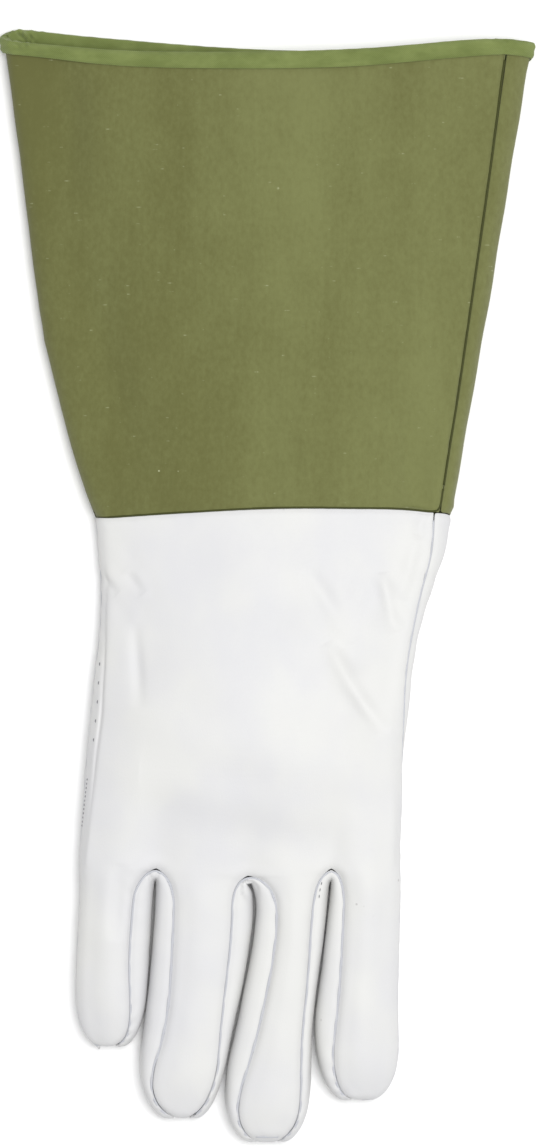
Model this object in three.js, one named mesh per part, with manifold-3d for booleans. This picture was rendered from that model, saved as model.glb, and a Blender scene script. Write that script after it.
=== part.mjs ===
// A right-hand pruning gauntlet lying on its palm: canvas cuff, leather hand, thumb folded under.
// Millimetres. +Z is up, +Y points out of the cuff, the little finger is on the -X side.
import * as THREE from "three";
import { mergeVertices } from "three/addons/utils/BufferGeometryUtils.js";
import Module from "manifold-3d";

// Cuff
const CUFF_LENGTH = 171;
const RIM_WIDTH = 193;
const RIM_DEPTH = 15;
const RIM_SAG = 2.6;
const RIM_SKEW = 5.6;
const CUFF_ROLL = 7;
const CUFF_SEAM_AT_RIM = 9.4;
const CUFF_SEAM_AT_WRIST = 4.6;
const CANVAS_WALL = 1.2;

// Bias tape folded over the rim
const TAPE_WIDTH = 5.6;
const TAPE_WALL = 0.9;

// Leather hand
const HAND_LENGTH = 127;
const HAND_WIDTH = 117;
const HAND_DEPTH = 26;
const WRIST_DEPTH = 18;
const WRIST_ARCH = 2.9;
const LEFT_ROLL = 5.5;
const RIGHT_ROLL = 9;
const LEATHER_WALL = 1.4;

// Fingers
const FINGER_DEPTH = 18;
const FINGER_GAP = 1.2;
const FOURCHETTE_SHOW = 8;
const SLOT_START = 4.2;
const SEAM_SPREAD = 9;

// Thumb folded under the palm
const THUMB_LENGTH = 84;
const THUMB_WIDTH = 32;
const THUMB_DEPTH = 10.5;
const THUMB_LEAN = 22;
const THUMB_HOLE_WIDTH = 22;
const THUMB_HOLE_LENGTH = 30;
const THUMB_MARGIN = 4;
const THUMB_FALL = 11;

// Left between pieces that are sewn together
const CLEARANCE = 0.3;
// The seams turn sharply round a finger's end, so the gap widens there by this many times.
const TIP_EASE = 3.2;

const WRIST_Y = 25;
const CROTCH_Y = WRIST_Y - HAND_LENGTH;
const TAPE_LIFT = TAPE_WALL + CLEARANCE;

// How far the cuff has flared from the wrist to the rim, and how its side height falls off.
const CUFF_ROWS = [
  { along: 0, flareLeft: 0, flareRight: 0, edge: 0.7, lift: 0 },
  { along: 0.07, flareLeft: 0.14, flareRight: 0.07, edge: 0.7, lift: 0 },
  { along: 0.14, flareLeft: 0.26, flareRight: 0.14, edge: 0.69, lift: 0 },
  { along: 0.25, flareLeft: 0.4, flareRight: 0.26, edge: 0.68, lift: 0 },
  { along: 0.37, flareLeft: 0.56, flareRight: 0.38, edge: 0.68, lift: 0 },
  { along: 0.58, flareLeft: 0.71, flareRight: 0.59, edge: 0.7, lift: 0 },
  { along: 0.75, flareLeft: 0.82, flareRight: 0.76, edge: 0.72, lift: 0 },
  { along: 0.93, flareLeft: 0.95, flareRight: 0.93, edge: 0.74, lift: 1 },
  { along: 1, flareLeft: 1, flareRight: 1, edge: 0.74, lift: 1 },
];

// The hand's two sides as shares of its width, how full it is, and where its right seam has turned to.
const HAND_ROWS = [
  { along: 0, left: -0.538, right: 0.574, full: 0, edge: 0.7, turn: 14 },
  { along: 0.11, left: -0.526, right: 0.556, full: 0.1, edge: 0.7, turn: 22 },
  { along: 0.22, left: -0.52, right: 0.512, full: 0.3, edge: 0.68, turn: 32 },
  { along: 0.34, left: -0.525, right: 0.474, full: 0.62, edge: 0.65, turn: 42 },
  { along: 0.44, left: -0.539, right: 0.453, full: 0.84, edge: 0.63, turn: 46 },
  { along: 0.54, left: -0.549, right: 0.44, full: 0.96, edge: 0.62, turn: 54 },
  { along: 0.68, left: -0.564, right: 0.419, full: 1, edge: 0.62, turn: 82 },
  { along: 0.81, left: -0.574, right: 0.418, full: 0.78, edge: 0.68, turn: 90 },
  { along: 0.93, left: -0.583, right: 0.412, full: 0.25, edge: 0.8, turn: 90 },
  { along: 1, left: -0.586, right: 0.412, full: 0, edge: 0.86, turn: 90 },
];

// Puckers along the strip beside the right seam: depth in shares of the roll.
const PUCKERS = [
  { along: 0.02, depth: 0.05 },
  { along: 0.09, depth: 0.04 },
  { along: 0.17, depth: 0.12 },
  { along: 0.255, depth: 0.13 },
  { along: 0.35, depth: 0.14 },
  { along: 0.45, depth: 0.07 },
];
const PUCKER_SPAN = 0.028;

// Where two fingers part: place across the back, and how much further down than the first.
const CROTCHES = [
  { across: 0.215, drop: 0 },
  { across: 0.522, drop: 0.016 },
  { across: 0.8155, drop: 0 },
];

// Soft hollows on the back of the hand: place and size as shares of its length and width.
const HOLLOWS = [
  { along: 0.52, across: 0.74, turn: 58, reach: 0.17, spread: 0.04, depth: 0.05 },
  { along: 0.23, across: 0.82, turn: 76, reach: 0.13, spread: 0.045, depth: 0.035 },
  { along: 0.26, across: 0.6, turn: 62, reach: 0.17, spread: 0.05, depth: 0.03 },
  { along: 0.42, across: 0.13, turn: 88, reach: 0.16, spread: 0.05, depth: 0.035 },
];

// Long soft folds in the cuff's upper side, from the wrist to the rim.
const CUFF_FOLDS = [
  { wrist: 0.2, rim: 0.02, spread: 0.05, depth: 0.09 },
  { wrist: 0.36, rim: 0.3, spread: 0.07, depth: 0.05 },
  { wrist: 0.87, rim: 0.72, spread: 0.05, depth: 0.06 },
];

// Each finger's run: middle and half width in shares of the hand's width, seams in shares of the
// fourchette that shows. The cap is the share of its length that is the rounded tip.
const FINGERS = [
  {
    name: "little",
    length: 66,
    cap: 0.32,
    rows: [
      { along: 0, middle: -0.467, half: 0.119, leftSeam: 0, rightSeam: 0.8 },
      { along: 0.13, middle: -0.469, half: 0.115, leftSeam: 0, rightSeam: 0.8 },
      { along: 0.52, middle: -0.481, half: 0.115, leftSeam: 0, rightSeam: 0.84 },
      { along: 0.73, middle: -0.487, half: 0.111, leftSeam: 0, rightSeam: 0.62 },
      { along: 0.9, middle: -0.49, half: 0.109, leftSeam: 0, rightSeam: 0.42 },
      { along: 1, middle: -0.489, half: 0.108, leftSeam: 0, rightSeam: 0.2 },
    ],
  },
  {
    name: "ring",
    length: 92.4,
    cap: 0.31,
    rows: [
      { along: 0, middle: -0.208, half: 0.14, leftSeam: 0.8, rightSeam: 0.9 },
      { along: 0.13, middle: -0.197, half: 0.155, leftSeam: 0.82, rightSeam: 0.92 },
      { along: 0.3, middle: -0.207, half: 0.155, leftSeam: 0.88, rightSeam: 0.85 },
      { along: 0.52, middle: -0.232, half: 0.146, leftSeam: 0.96, rightSeam: 0.64 },
      { along: 0.68, middle: -0.257, half: 0.14, leftSeam: 0.92, rightSeam: 0.38 },
      { along: 0.85, middle: -0.27, half: 0.135, leftSeam: 0.34, rightSeam: 0.14 },
      { along: 1, middle: -0.268, half: 0.134, leftSeam: 0.12, rightSeam: 0.08 },
    ],
  },
  {
    name: "middle",
    length: 101,
    cap: 0.215,
    rows: [
      { along: 0, middle: 0.063, half: 0.131, leftSeam: 0.8, rightSeam: 0.56 },
      { along: 0.12, middle: 0.074, half: 0.112, leftSeam: 0.84, rightSeam: 0.58 },
      { along: 0.27, middle: 0.061, half: 0.112, leftSeam: 1, rightSeam: 0.54 },
      { along: 0.41, middle: 0.04, half: 0.114, leftSeam: 1.03, rightSeam: 0.36 },
      { along: 0.55, middle: 0.02, half: 0.117, leftSeam: 1, rightSeam: 0.32 },
      { along: 0.7, middle: 0.003, half: 0.132, leftSeam: 0.95, rightSeam: 0.38 },
      { along: 0.84, middle: -0.003, half: 0.134, leftSeam: 0.5, rightSeam: 0.3 },
      { along: 1, middle: -0.003, half: 0.134, leftSeam: 0.12, rightSeam: 0.12 },
    ],
  },
  {
    name: "index",
    length: 85.7,
    cap: 0.28,
    rows: [
      { along: 0, middle: 0.305, half: 0.108, leftSeam: 0.56, rightSeam: 0 },
      { along: 0.14, middle: 0.301, half: 0.112, leftSeam: 0.6, rightSeam: 0 },
      { along: 0.48, middle: 0.282, half: 0.124, leftSeam: 0.86, rightSeam: 0 },
      { along: 0.65, middle: 0.273, half: 0.133, leftSeam: 0.95, rightSeam: 0 },
      { along: 0.82, middle: 0.279, half: 0.132, leftSeam: 0.62, rightSeam: 0 },
      { along: 1, middle: 0.284, half: 0.13, leftSeam: 0.3, rightSeam: 0 },
    ],
  },
];

// Mesh fineness
const TOP_STEPS = 4;
const ROLL_STEPS = 3;
const STRIP_ROLL_STEPS = 5;
const CUFF_STEPS = 15;
const STRIP_STEPS = 4;
const CUFF_STATIONS = [0, 0.07, 0.15, 0.25, 0.37, 0.5, 0.63, 0.75, 0.93, 1];
const HAND_STATIONS = [
  0, 0.035, 0.07, 0.105, 0.14, 0.17, 0.21, 0.255, 0.3, 0.35, 0.4, 0.45, 0.5, 0.57, 0.64, 0.71, 0.78,
  0.84, 0.89, 0.93, 0.97, 1,
];
const FINGER_STATIONS = [0, 0.03, 0.07, 0.13, 0.22, 0.34, 0.46, 0.58, 0.69, 0.79, 0.87, 0.93, 0.97, 0.992];

const { lerp, clamp, smoothstep, degToRad } = THREE.MathUtils;
const wasm = await Module();
wasm.setup();

// The value of one column of a table at a place between its rows, without corners at the rows.
function read(rows, column, at, place = "along") {
  const passed = rows.filter((row) => row[place] <= at).length;
  const i = clamp(passed - 1, 0, rows.length - 2);
  const [a, b] = [rows[i], rows[i + 1]];
  const before = rows[Math.max(i - 1, 0)];
  const after = rows[Math.min(i + 2, rows.length - 1)];
  const span = b[place] - a[place];
  const t = clamp((at - a[place]) / span, 0, 1);
  const slopeIn = ((b[column] - before[column]) / (b[place] - before[place])) * span;
  const slopeOut = ((after[column] - a[column]) / (after[place] - a[place])) * span;
  const rise = b[column] - a[column];
  const bend = (t - 1) * (slopeIn - rise) + t * (slopeOut - rise);
  return a[column] + rise * t + t * (t - 1) * bend;
}

// A rounded end: 1 before it starts, 0 at its very tip.
function capShare(share) {
  const q = clamp(share, 0, 1);
  return (1 - q ** 2.4) ** (1 / 2.4);
}

function steps(count) {
  return Array.from({ length: count + 1 }, (_, i) => i / count);
}

// Sheets: points with an optional fixed normal, laid out in rows and joined by quads.
class Sheet {
  constructor() {
    this.points = [];
    this.normals = [];
    this.faces = [];
  }

  add(point, normal = null) {
    this.normals.push(normal);
    return this.points.push(point) - 1;
  }

  lay(rows) {
    for (let i = 0; i + 1 < rows.length; i++) {
      for (let j = 0; j + 1 < rows[i].length; j++) {
        const [a, b, c, d] = [rows[i][j], rows[i][j + 1], rows[i + 1][j + 1], rows[i + 1][j]];
        this.faces.push([a, d, c], [a, c, b]);
      }
    }
  }

  // The points' own normals, from the faces around each, where none was fixed.
  outward() {
    const sums = this.points.map(() => new THREE.Vector3());
    for (const [a, b, c] of this.faces) {
      const [pa, pb, pc] = [this.points[a], this.points[b], this.points[c]];
      const face = pb.clone().sub(pa).cross(pc.clone().sub(pa));
      for (const corner of [a, b, c]) sums[corner].add(face);
    }
    return sums.map((sum, i) => {
      const fixed = this.normals[i];
      if (fixed === "level") return sum.setZ(0).normalize();
      return fixed ?? sum.normalize();
    });
  }

  // A closed solid: this sheet outside, a copy of it one wall further in, and a rim round each edge.
  thicken(wall) {
    const normals = this.outward();
    const count = this.points.length;
    const inner = this.points.map((point, i) => point.clone().addScaledVector(normals[i], -wall));
    const edges = new Map();
    const index = [];
    for (const [a, b, c] of this.faces) {
      index.push(a, b, c, a + count, c + count, b + count);
      for (const [from, to] of [[a, b], [b, c], [c, a]]) edges.set(`${from},${to}`, [from, to]);
    }
    for (const [from, to] of edges.values()) {
      if (edges.has(`${to},${from}`)) continue;
      index.push(from, from + count, to, to, from + count, to + count);
    }
    return solidFrom([...this.points, ...inner], index);
  }
}

function solidFrom(points, index) {
  const geometry = new THREE.BufferGeometry();
  const flat = points.flatMap((point) => point.toArray());
  geometry.setAttribute("position", new THREE.Float32BufferAttribute(flat, 3));
  geometry.setIndex(index);
  return geometry;
}

// A closed solid from rings of points, each ring given the same way round, capped at both ends.
function loft(rings) {
  const around = rings[0].length;
  const points = rings.flat();
  const index = [];
  for (let i = 0; i + 1 < rings.length; i++) {
    for (let j = 0; j < around; j++) {
      const [a, b] = [i * around + j, i * around + ((j + 1) % around)];
      index.push(a, b, b + around, a, b + around, a + around);
    }
  }
  const start = points.push(centreOf(rings[0])) - 1;
  const end = points.push(centreOf(rings[rings.length - 1])) - 1;
  const lastRing = (rings.length - 1) * around;
  for (let j = 0; j < around; j++) {
    const next = (j + 1) % around;
    index.push(start, next, j, end, lastRing + j, lastRing + next);
  }
  return solidFrom(points, index);
}

function centreOf(ring) {
  return ring.reduce((sum, p) => sum.add(p), new THREE.Vector3()).divideScalar(ring.length);
}

function toManifold(geometry) {
  const bare = geometry.clone();
  bare.deleteAttribute("normal");
  bare.deleteAttribute("uv");
  const merged = mergeVertices(bare, 1e-4);
  const triVerts = new Uint32Array(merged.index.array);
  const vertProperties = merged.attributes.position.array;
  return new wasm.Manifold(new wasm.Mesh({ numProp: 3, vertProperties, triVerts }));
}

function fromManifold(solid) {
  const made = solid.getMesh();
  const geometry = new THREE.BufferGeometry();
  geometry.setAttribute("position", new THREE.BufferAttribute(made.vertProperties, 3));
  geometry.setIndex(new THREE.BufferAttribute(made.triVerts, 1));
  return geometry;
}

// The thumb's axis on the floor: where it starts, which way it points, how wide it is at a place.
const thumbWay = new THREE.Vector2(-Math.sin(degToRad(THUMB_LEAN)), -Math.cos(degToRad(THUMB_LEAN)));
const thumbRoot = new THREE.Vector2(0.2 * HAND_WIDTH, WRIST_Y - 0.2 * HAND_LENGTH);

function thumbHalf(share) {
  const body = lerp(0.5, 0.44, share) * THUMB_WIDTH;
  const root = capShare(1 - share / 0.3);
  const tip = capShare((share - 0.66) / 0.34);
  return body * root * tip;
}

// How much of its full lift the palm has over the thumb at a place.
function overThumb(x, y) {
  const away = new THREE.Vector2(x, y).sub(thumbRoot);
  const along = clamp(away.dot(thumbWay), 0.5 * THUMB_WIDTH, THUMB_LENGTH - 0.5 * THUMB_WIDTH);
  const off = away.distanceTo(thumbWay.clone().multiplyScalar(along));
  const edge = 0.5 * THUMB_WIDTH + THUMB_MARGIN;
  return 1 - smoothstep(off, edge, edge + THUMB_FALL);
}

// Body sections, from the rim to the crotches. Each has two sides, a roll at each side, and heights.
function handSection(along) {
  const full = read(HAND_ROWS, "full", along);
  const resting = along < 0.6 ? WRIST_DEPTH : FINGER_DEPTH;
  const depth = lerp(resting, HAND_DEPTH, full);
  const edge = depth * read(HAND_ROWS, "edge", along);
  return {
    left: read(HAND_ROWS, "left", along) * HAND_WIDTH,
    right: read(HAND_ROWS, "right", along) * HAND_WIDTH,
    edge,
    crown: depth - edge,
    middle: 0.46 * edge,
    floor: 0,
    rollLeft: LEFT_ROLL,
    rollRight: RIGHT_ROLL * (1 - 0.35 * smoothstep(along, 0.5, 1)),
    turn: degToRad(read(HAND_ROWS, "turn", along)),
  };
}

function cuffSection(along) {
  const wrist = handSection(0);
  const depth = lerp(WRIST_DEPTH, RIM_DEPTH, along);
  const edge = depth * read(CUFF_ROWS, "edge", along);
  const floor = TAPE_LIFT * read(CUFF_ROWS, "lift", along);
  const left = lerp(wrist.left, -RIM_WIDTH / 2, read(CUFF_ROWS, "flareLeft", along));
  const right = lerp(wrist.right, RIM_WIDTH / 2, read(CUFF_ROWS, "flareRight", along));
  const offset = lerp(CUFF_SEAM_AT_WRIST, CUFF_SEAM_AT_RIM, along);
  const rollRight = lerp(wrist.rollRight, CUFF_SEAM_AT_RIM * 1.1, along);
  return {
    left,
    right,
    edge,
    crown: depth - edge,
    middle: lerp(floor, edge, 0.46),
    floor,
    rollLeft: lerp(wrist.rollLeft, CUFF_ROLL, along),
    rollRight,
    turn: Math.asin(clamp(1 - offset / rollRight, 0.05, 1)),
  };
}

// A point on one side's roll: the angle runs from 0 on top through 90 degrees outside to 180 below.
function rollPoint(section, side, angle) {
  const roll = side < 0 ? section.rollLeft : section.rollRight;
  const outside = side < 0 ? section.left : section.right;
  const reach = angle < Math.PI / 2 ? section.edge - section.middle : section.middle - section.floor;
  return {
    x: outside - side * roll * (1 - Math.sin(angle)),
    z: section.middle + reach * Math.cos(angle),
    normal: new THREE.Vector3(side * Math.sin(angle) * reach, 0, Math.cos(angle) * roll).normalize(),
  };
}

// The angle just short of a seam, or just past it, that leaves half the clearance.
function besideSeam(section, turn, way) {
  return turn + (way * CLEARANCE) / 2 / (section.edge - section.middle);
}

// Lengthwise lines: the wrist seam arches, the rim sags in front and stands out behind at the left.
function wristLine(across) {
  return WRIST_Y + WRIST_ARCH * (1 - (2 * across - 1) ** 2);
}

function rimLine(across, below) {
  const front = WRIST_Y + CUFF_LENGTH - RIM_SAG * (1 - (2 * across - 1) ** 2);
  return front + below * RIM_SKEW * (1 - across) ** 2.2;
}

function crotchLine(across) {
  const ends = [{ across: 0, drop: 0 }, ...CROTCHES, { across: 1, drop: 0 }];
  return CROTCH_Y - read(ends, "drop", across, "across") * HAND_LENGTH;
}

function cuffLine(across, below, along) {
  const end = wristLine(across) + CLEARANCE;
  return lerp(end, rimLine(across, below) - TAPE_LIFT, along);
}

function dent(distance, spread) {
  return Math.exp(-((distance / spread) ** 2));
}

function cuffTop(section, across, along) {
  let height = section.edge + section.crown * (1 - Math.abs(2 * across - 1) ** 2.3);
  for (const fold of CUFF_FOLDS) {
    const off = across - lerp(fold.wrist, fold.rim, along);
    height -= fold.depth * section.edge * dent(off, fold.spread) * smoothstep(along, 0, 0.2);
  }
  return height;
}

// The back of the hand: one broad crown that turns into four finger backs near the crotches.
function handTop(section, across, along) {
  const broad = section.edge + section.crown * (1 - Math.abs(2 * across - 1) ** 2.3);
  const bounds = [0, ...CROTCHES.map((crotch) => crotch.across), 1];
  const finger = clamp(bounds.findIndex((bound) => bound > across) - 1, 0, 3);
  const place = across >= 1 ? 1 : (across - bounds[finger]) / (bounds[finger + 1] - bounds[finger]);
  const parted = fingerTop(FINGERS[finger], 0, place);
  let height = lerp(broad, parted, smoothstep(along, 0.72, 1));
  for (const hollow of HOLLOWS) {
    const turn = degToRad(hollow.turn);
    const down = along - hollow.along;
    const over = ((across - hollow.across) * HAND_WIDTH) / HAND_LENGTH;
    const length = over * Math.cos(turn) + down * Math.sin(turn);
    const off = down * Math.cos(turn) - over * Math.sin(turn);
    const shape = dent(off, hollow.spread) * dent(length, hollow.reach / 2);
    height -= hollow.depth * HAND_DEPTH * shape * (1 - smoothstep(along, 0.8, 1));
  }
  return height;
}

// Fingers
function fingerDepth(along) {
  return FINGER_DEPTH * (1 - 0.14 * along);
}

function fingerCap(finger, along) {
  return capShare((along - 1 + finger.cap) / finger.cap);
}

function fingerTop(finger, along, place) {
  const depth = fingerDepth(along);
  const middle = 0.46 * depth;
  const height = depth * lerp(0.86, 1, 1 - (2 * place - 1) ** 2);
  return middle + (height - middle) * fingerCap(finger, along);
}

// One finger's section: its outer sides, the seams inside them, and its heights.
function fingerSection(finger, along) {
  const number = FINGERS.indexOf(finger);
  const cap = fingerCap(finger, along);
  const depth = fingerDepth(along);
  const half = read(finger.rows, "half", along) * HAND_WIDTH * cap;
  const centre = read(finger.rows, "middle", along) * HAND_WIDTH;
  const gap = FINGER_GAP / 2;
  const left = centre - half + (number > 0 ? gap : 0);
  const right = centre + half - (number < 3 ? gap : 0);
  const opened = clamp((along * finger.length) / SEAM_SPREAD, 0, 1) ** 0.6;
  const show = Math.min(FOURCHETTE_SHOW, half * 0.62);
  const seamIn = (column) => Math.max(show * read(finger.rows, column, along), 1.15 * LEATHER_WALL) * opened;
  const hand = handSection(1);
  const leftIn = number === 0 ? hand.rollLeft * cap : seamIn("leftSeam");
  const rightIn = number === 3 ? hand.rollRight * cap : seamIn("rightSeam");
  const middle = 0.46 * depth;
  return {
    y: CROTCH_Y - along * finger.length,
    left,
    right,
    seamLeft: left + leftIn,
    seamRight: right - rightIn,
    rollLeft: leftIn,
    rollRight: rightIn,
    middle,
    edge: middle + (0.86 * depth - middle) * cap,
    floor: middle * (1 - cap),
    turn: Math.PI / 2,
    crown: 0,
    opened,
    last: along === FINGER_STATIONS[FINGER_STATIONS.length - 1],
  };
}

// The direction off the finger along its seams, which tips forward round the finger's end.
function seamNormal(finger, along, up) {
  const section = fingerSection(finger, along);
  if (section.last) return new THREE.Vector3(0, -1, 0);
  const step = 0.004;
  const further = fingerSection(finger, along + step);
  const fall = up > 0 ? section.edge - further.edge : further.floor - section.floor;
  return new THREE.Vector3(0, -fall, up * step * finger.length).normalize();
}

// Points across one side of a finger, from its left side or seam to its right one.
function fingerRow(sheet, finger, along, backSide) {
  const number = FINGERS.indexOf(finger);
  const section = fingerSection(finger, along);
  const way = backSide ? 1 : -1;
  const flatAngle = backSide ? 0 : Math.PI;
  const seam = besideSeam(section, section.turn, -way);
  const add = (x, z, normal) => {
    const height = section.last ? section.middle + (way * CLEARANCE) / 2 : z;
    return sheet.add(new THREE.Vector3(x, section.y, height), normal ?? (section.last ? "level" : null));
  };
  const roll = (side, s) => {
    const at = rollPoint(section, side, lerp(seam, flatAngle, s));
    return add(at.x, at.z, s === 0 && !section.last ? at.normal : null);
  };
  const gap = CLEARANCE * (1 + TIP_EASE * (1 - fingerCap(finger, along)));
  const from = section.seamLeft + (number > 0 ? gap : 0);
  const to = section.seamRight - (number < 3 ? gap : 0);
  const flat = steps(TOP_STEPS).map((place) => {
    const sewn = (place === 0 && number > 0) || (place === 1 && number < 3);
    const z = backSide ? fingerTop(finger, along, place) : section.floor;
    return add(lerp(from, to, place), z, sewn ? seamNormal(finger, along, way) : null);
  });
  const left = number === 0 ? steps(rollSteps(-1, backSide)).slice(0, -1).map((s) => roll(-1, s)) : [];
  const right = number === 3 ? steps(rollSteps(1, backSide)).slice(1).map((s) => roll(1, 1 - s)) : [];
  return [...left, ...flat, ...right];
}

function rollSteps(side, backSide) {
  return side > 0 && !backSide ? STRIP_ROLL_STEPS : ROLL_STEPS;
}

// Shares across the back at which its lengthwise lines run, with one line through each crotch.
const ACROSS = [0, ...CROTCHES.map((crotch) => crotch.across), 1].flatMap((bound, i, all) =>
  i === 0 ? [0] : steps(TOP_STEPS).slice(1).map((share) => lerp(all[i - 1], bound, share)),
);

function puckered(along) {
  const pull = PUCKERS.reduce((sum, row) => sum + row.depth * dent(along - row.along, PUCKER_SPAN), 0);
  return pull * RIGHT_ROLL;
}

function handRow(sheet, along, backSide) {
  const section = handSection(along);
  const row = [];
  const way = backSide ? -1 : 1;
  const y = (across) => lerp(wristLine(across), crotchLine(across), along);
  const roll = (side, angle, seamShare) => {
    const at = rollPoint(section, side, angle);
    const pull = side > 0 && !backSide ? puckered(along) * Math.sin(Math.PI * seamShare) ** 2 : 0;
    const point = new THREE.Vector3(at.x - side * pull, y(side < 0 ? 0 : 1), at.z);
    return sheet.add(point, seamShare === 0 ? at.normal : null);
  };
  const from = (turn) => besideSeam(section, turn, way);
  const flatAngle = backSide ? 0 : Math.PI;
  for (const s of steps(rollSteps(-1, backSide)).slice(0, -1)) {
    row.push(roll(-1, lerp(from(Math.PI / 2), flatAngle, s), s));
  }
  const [x0, x1] = [section.left + section.rollLeft, section.right - section.rollRight];
  for (const across of ACROSS) {
    const x = lerp(x0, x1, across);
    const lifted = overThumb(x, y(across)) * (THUMB_DEPTH + CLEARANCE);
    row.push(sheet.add(new THREE.Vector3(x, y(across), backSide ? handTop(section, across, along) : lifted)));
  }
  for (const s of steps(rollSteps(1, backSide)).slice(1)) {
    row.push(roll(1, lerp(flatAngle, from(section.turn), s), 1 - s));
  }
  return row;
}

// One side of the leather hand with its four fingers, which part at the crotches.
function handSheet(backSide) {
  const sheet = new Sheet();
  const rows = HAND_STATIONS.map((along) => handRow(sheet, along, backSide));
  sheet.lay(rows);
  const lastRow = rows[rows.length - 1];
  let column = 0;
  FINGERS.forEach((finger, number) => {
    const down = FINGER_STATIONS.slice(1).map((along) => fingerRow(sheet, finger, along, backSide));
    const width = down[0].length - 1;
    sheet.lay([lastRow.slice(column, column + width + 1), ...down]);
    column += width;
  });
  if (!backSide) sheet.faces = sheet.faces.map(([a, b, c]) => [a, c, b]);
  return sheet;
}

// The strip between two fingers: down one finger's side, round the crotch and back up the next.
function fourchetteSheet(number) {
  const sheet = new Sheet();
  const before = FINGERS[number];
  const after = FINGERS[number + 1];
  const stations = FINGER_STATIONS.slice(1);
  const rows = [
    ...stations.toReversed().map((along) => stripEdges(before, along, 1)),
    crotchEdges(number),
    ...stations.map((along) => stripEdges(after, along, -1)),
  ];
  sheet.lay(rows.map((edges) => stripRow(sheet, edges)));
  sheet.faces = sheet.faces.map(([a, b, c]) => [a, c, b]);
  return sheet;
}

// Where a strip's two seams and its outermost line run at one place on a finger's side.
function stripEdges(finger, along, side) {
  const section = fingerSection(finger, along);
  const seam = side > 0 ? section.seamRight : section.seamLeft;
  const thin = section.last ? CLEARANCE : 0;
  return {
    seam: new THREE.Vector2(seam, section.y),
    outer: new THREE.Vector2(side > 0 ? section.right : section.left, section.y - SLOT_START * (1 - section.opened)),
    top: section.last ? section.middle + thin : section.edge,
    middle: section.middle,
    bottom: section.last ? section.middle - thin : section.floor,
    topNormal: seamNormal(finger, along, 1),
    bottomNormal: seamNormal(finger, along, -1),
    last: section.last,
  };
}

function crotchEdges(number) {
  const section = handSection(1);
  const { across } = CROTCHES[number];
  const x = lerp(section.left + section.rollLeft, section.right - section.rollRight, across);
  const y = crotchLine(across);
  const root = fingerSection(FINGERS[number], 0);
  return {
    seam: new THREE.Vector2(x, y - CLEARANCE),
    outer: new THREE.Vector2(x, y - SLOT_START),
    top: root.edge,
    middle: root.middle,
    bottom: 0,
    topNormal: new THREE.Vector3(0, 0, 1),
    bottomNormal: new THREE.Vector3(0, 0, -1),
    last: false,
  };
}

function stripRow(sheet, edges) {
  return steps(STRIP_STEPS).map((share) => {
    const angle = Math.PI * share;
    const at = edges.outer.clone().lerp(edges.seam, 1 - Math.sin(angle));
    const reach = share < 0.5 ? edges.top - edges.middle : edges.middle - edges.bottom;
    const point = new THREE.Vector3(at.x, at.y, edges.middle + reach * Math.cos(angle));
    const ends = { 0: edges.topNormal, 1: edges.bottomNormal };
    return sheet.add(point, edges.last ? new THREE.Vector3(0, -1, 0) : (ends[share] ?? null));
  });
}

// Cuff: the places round it in section, from the left side over or under to the long seam.
function cuffPlaces(backSide) {
  const count = backSide ? ROLL_STEPS : STRIP_ROLL_STEPS;
  return [
    ...steps(ROLL_STEPS).slice(0, -1).map((s) => ({ side: -1, seam: s })),
    ...steps(CUFF_STEPS).map((across) => ({ side: 0, across })),
    ...steps(count).slice(1).map((s) => ({ side: 1, seam: 1 - s })),
  ];
}

function cuffPoint(place, along, backSide) {
  const section = cuffSection(along);
  if (place.side === 0) {
    const x = lerp(section.left + section.rollLeft, section.right - section.rollRight, place.across);
    const z = backSide ? cuffTop(section, place.across, along) : section.floor;
    return { point: new THREE.Vector3(x, cuffLine(place.across, backSide ? 0 : 1, along), z), normal: null };
  }
  const turn = place.side < 0 ? Math.PI / 2 : section.turn;
  const start = besideSeam(section, turn, backSide ? -1 : 1);
  const angle = lerp(start, backSide ? 0 : Math.PI, place.seam);
  const at = rollPoint(section, place.side, angle);
  const below = smoothstep(angle, 0, Math.PI);
  const y = cuffLine(place.side < 0 ? 0 : 1, below, along);
  return { point: new THREE.Vector3(at.x, y, at.z), normal: place.seam === 0 ? at.normal : null };
}

function cuffSheet(backSide) {
  const sheet = new Sheet();
  const rows = CUFF_STATIONS.toReversed().map((along) =>
    cuffPlaces(backSide).map((place) => {
      const { point, normal } = cuffPoint(place, along, backSide);
      return sheet.add(point, normal);
    }),
  );
  sheet.lay(rows);
  if (!backSide) sheet.faces = sheet.faces.map(([a, b, c]) => [a, c, b]);
  return sheet;
}

// The tape's section: out from the canvas, and along it from the rim, as it folds over the edge.
function tapeProfile() {
  const outer = CLEARANCE + TAPE_WALL;
  const inner = -CANVAS_WALL - CLEARANCE;
  return [
    [outer, -TAPE_WIDTH],
    [CLEARANCE, -TAPE_WIDTH],
    [CLEARANCE, CLEARANCE],
    [inner, CLEARANCE],
    [inner, -TAPE_WIDTH],
    [inner - TAPE_WALL, -TAPE_WIDTH],
    [inner - TAPE_WALL, CLEARANCE + TAPE_WALL * 0.4],
    [-CANVAS_WALL / 2, outer],
    [outer, CLEARANCE + TAPE_WALL * 0.4],
  ].map(([out, on]) => ({ out, on }));
}

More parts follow.
